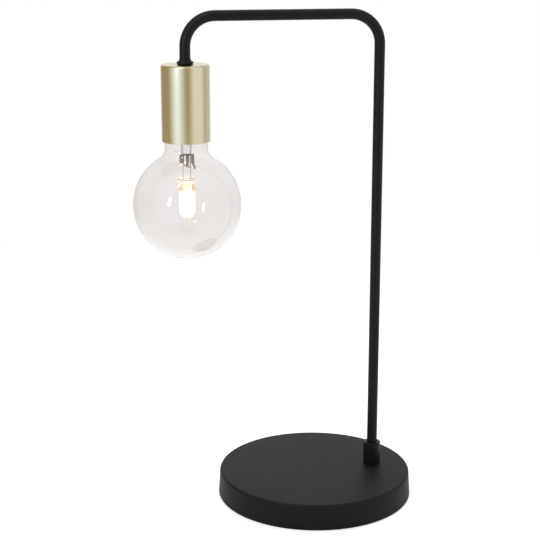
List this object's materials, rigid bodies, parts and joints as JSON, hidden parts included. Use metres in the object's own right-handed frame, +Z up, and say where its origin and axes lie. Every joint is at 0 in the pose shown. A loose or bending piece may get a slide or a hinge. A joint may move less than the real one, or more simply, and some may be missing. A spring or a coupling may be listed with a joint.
{
  "type": "table lamp",
  "caption": "Table lamp with a round weighted base, a bent tube arm, a metal lampholder cup and a clear globe bulb that screws in from below.",
  "frame": {"origin": "centre of the base's underside, on the surface the lamp stands on", "axes": "+Z up, +X towards the pole side, -X towards the bulb side, +Y to the rear where the cord inlet is"},
  "size_m": [0.2529, 0.1806, 0.4467],
  "materials": {
    "black_paint": "satin black powder coat",
    "cup_metal": "satin champagne brass",
    "globe_glass": "clear blown glass",
    "quartz_glass": "clear quartz",
    "pad_foam": "matt foam pad",
    "ballast_iron": "raw casting",
    "zinc_steel": "zinc-plated",
    "plate_steel": "black painted sheet",
    "grommet_rubber": "moulded rubber",
    "connector_plastic": "natural nylon",
    "lead_brown": "PVC insulation",
    "lead_blue": "PVC insulation",
    "holder_plastic": "black phenolic",
    "holder_ceramic": "white porcelain",
    "contact_brass": "bright brass",
    "cap_metal": "bright nickel-plated",
    "cap_glass": "black glass",
    "solder": "solder",
    "clip_steel": "bright sheet steel",
    "lead_wire": "nickel wire",
    "tungsten": "glowing tungsten"
  },
  "bodies": {
    "root": {"base_pad": "pad_foam", "base_bottom_plate": "plate_steel", "bottom_plate_screws": "zinc_steel", "base_shell": "black_paint", "base_weight": "ballast_iron", "cord_grommet": "grommet_rubber", "terminal_block": "connector_plastic", "terminal_block_screws": "zinc_steel", "earth_tag": "contact_brass", "earth_screw": "zinc_steel", "pole_collar": "black_paint", "collar_grub_screw": "zinc_steel", "pole_foot_stud": "zinc_steel", "pole_foot_washer": "zinc_steel", "pole_foot_lock_washer": "zinc_steel", "pole_foot_nut": "zinc_steel", "bent_tube": "black_paint", "live_lead": "lead_brown", "neutral_lead": "lead_blue", "tube_ferrule": "black_paint", "lampholder_cup": "cup_metal", "holder_nipple": "zinc_steel", "cup_washer": "zinc_steel", "holder_cap": "holder_plastic", "holder_lock_nut": "zinc_steel", "holder_insert": "holder_ceramic", "holder_terminal_screws": "contact_brass", "holder_skirt": "holder_plastic", "centre_contact": "contact_brass", "side_contact": "contact_brass", "screw_shell": "contact_brass"},
    "bulb_carrier": {"bulb_tip_contact": "solder"},
    "bulb": {"bulb_globe": "globe_glass", "bulb_cap": "cap_metal", "cap_insulator": "cap_glass", "glass_stem": "globe_glass", "stem_lead_wires": "lead_wire", "capsule_clip": "clip_steel", "halogen_capsule": "quartz_glass", "filament": "tungsten"}
  },
  "joints": [
    {"name": "bulb_travel", "type": "slide", "parent": "root", "child": "bulb_carrier", "axis": [0, 0, -1], "range_m": [0, 0.01815]},
    {"name": "bulb_screw", "type": "hinge", "parent": "bulb_carrier", "child": "bulb", "pos_m": [-0.1159, 0, 0.2789], "axis": [0, 0, -1], "range_deg": [0, 1800]}
  ],
  "couplings": [
    {"joint": "bulb_travel", "follows": "bulb_screw", "m_per_rad": 0.00057757}
  ]
}
